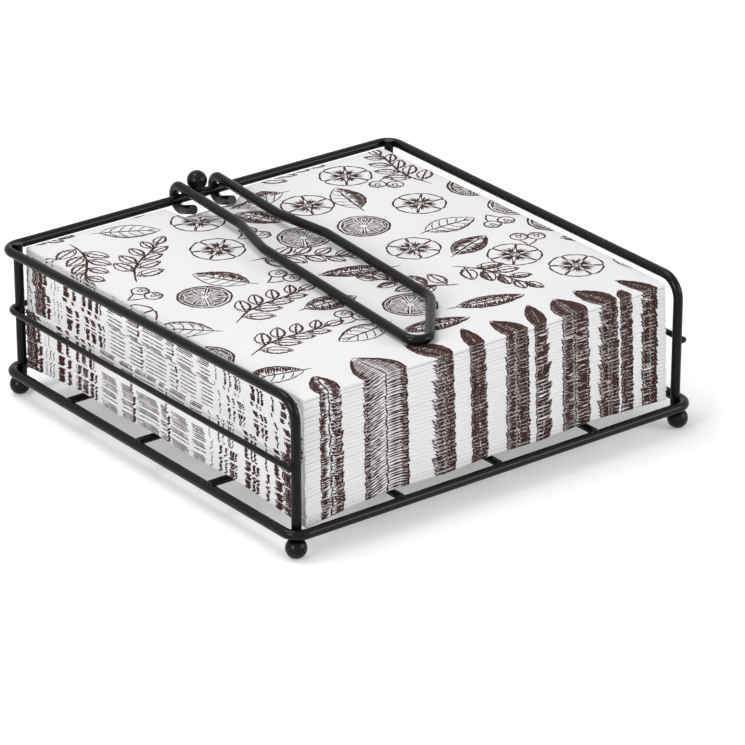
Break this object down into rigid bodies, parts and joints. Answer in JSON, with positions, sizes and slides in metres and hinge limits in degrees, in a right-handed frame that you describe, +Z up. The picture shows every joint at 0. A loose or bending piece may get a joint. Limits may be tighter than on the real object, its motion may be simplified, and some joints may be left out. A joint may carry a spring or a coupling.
{
  "type": "napkin holder",
  "caption": "Square wire cradle on ball feet for a stack of folded paper napkins, held down by a loose hinged wire arm that swings up from the rear rail.",
  "frame": {"origin": "middle of the object's outline in plan, on the table under the ball feet", "axes": "+Z up, -Y towards the open front where napkins are taken, +X to the right seen from the front"},
  "size_m": [0.1862, 0.1894, 0.0685],
  "materials": {
    "black_wire": "satin black powder coat on steel wire",
    "napkin_paper": "matte off-white tissue paper"
  },
  "bodies": {
    "frame": {"base_ring": "black_wire", "top_rail": "black_wire", "mid_rail": "black_wire", "rear_left_post": "black_wire", "rear_right_post": "black_wire", "floor_wire_left": "black_wire", "floor_wire_middle": "black_wire", "floor_wire_right": "black_wire", "cross_wire_front": "black_wire", "cross_wire_centre": "black_wire", "cross_wire_rear": "black_wire", "foot_front_left": "black_wire", "foot_front_right": "black_wire", "foot_rear_left": "black_wire", "foot_rear_right": "black_wire", "stop_ball": "black_wire"},
    "arm": {"weight_arm": "black_wire"},
    "stack": {"napkin_stack": "napkin_paper", "upper_napkins": "napkin_paper"},
    "next_napkin": {"top_napkin": "napkin_paper"}
  },
  "joints": [
    {"name": "arm_hinge", "type": "hinge", "parent": "frame", "child": "arm", "pos_m": [-0.0014, 0.08765, 0.059], "axis": [-1, 0, 0], "range_deg": [0, 195]},
    {"name": "stack_slide", "type": "slide", "parent": "frame", "child": "stack", "axis": [0, -1, 0], "range_m": [0, 0.19]},
    {"name": "top_napkin_slide", "type": "slide", "parent": "stack", "child": "next_napkin", "axis": [0, -1, 0], "range_m": [0, 0.19]}
  ]
}
